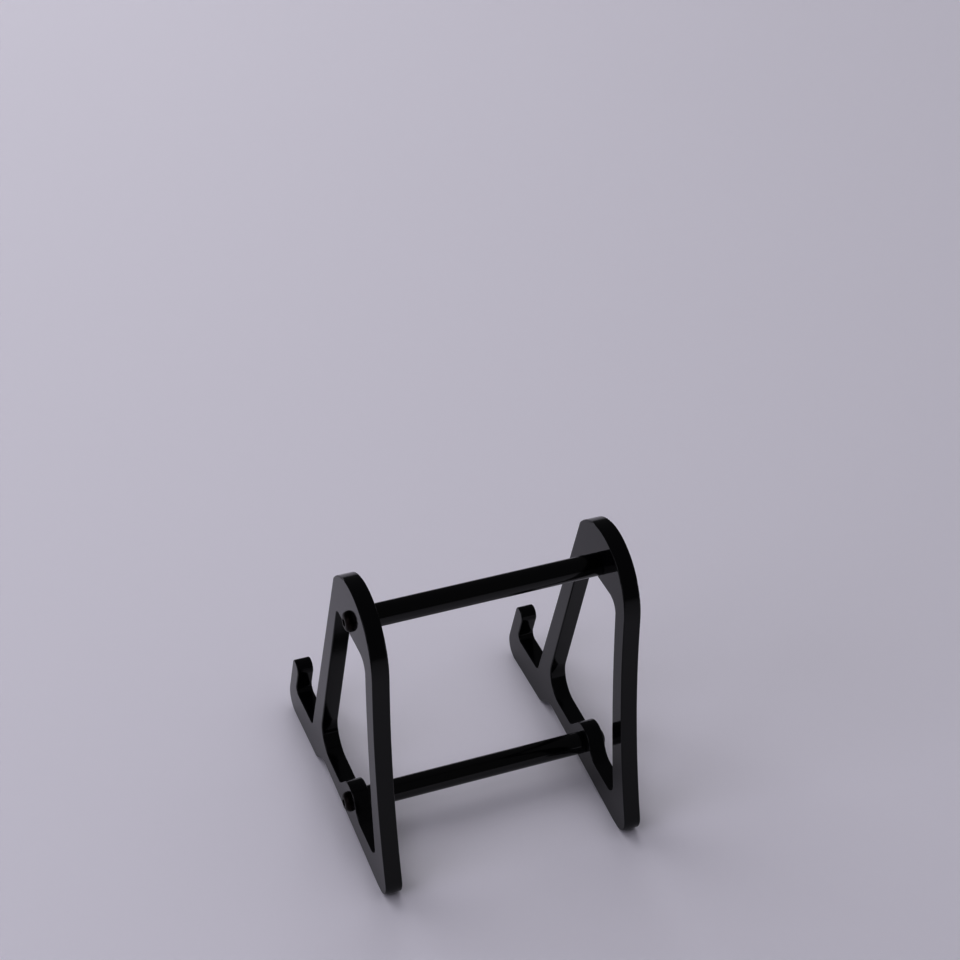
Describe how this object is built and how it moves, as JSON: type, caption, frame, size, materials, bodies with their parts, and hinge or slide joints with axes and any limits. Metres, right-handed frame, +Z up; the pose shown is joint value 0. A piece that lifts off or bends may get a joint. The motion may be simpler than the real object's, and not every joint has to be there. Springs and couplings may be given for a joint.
{
  "type": "tablet stand",
  "caption": "Glossy black desk stand for a tablet: flat side frames with a leaning strut and a front slot, held apart by round cross rods.",
  "frame": {"origin": "on the desk, in the middle of the stand's box", "axes": "+X along the cross rods, to the right of a person looking at the tablet's screen; the screen faces -Y; the rear legs are at +Y; +Z up"},
  "size_m": [0.0786, 0.088, 0.0898],
  "materials": {
    "black_sheet": "gloss",
    "black_rod": "satin",
    "black_screw": "satin"
  },
  "bodies": {
    "root": {"left_side_frame": "black_sheet", "right_side_frame": "black_sheet", "upper_cross_rod": "black_rod", "lower_cross_rod": "black_rod", "upper_left_screw": "black_screw", "upper_right_screw": "black_screw", "lower_left_screw": "black_screw", "lower_right_screw": "black_screw"}
  },
  "joints": []
}
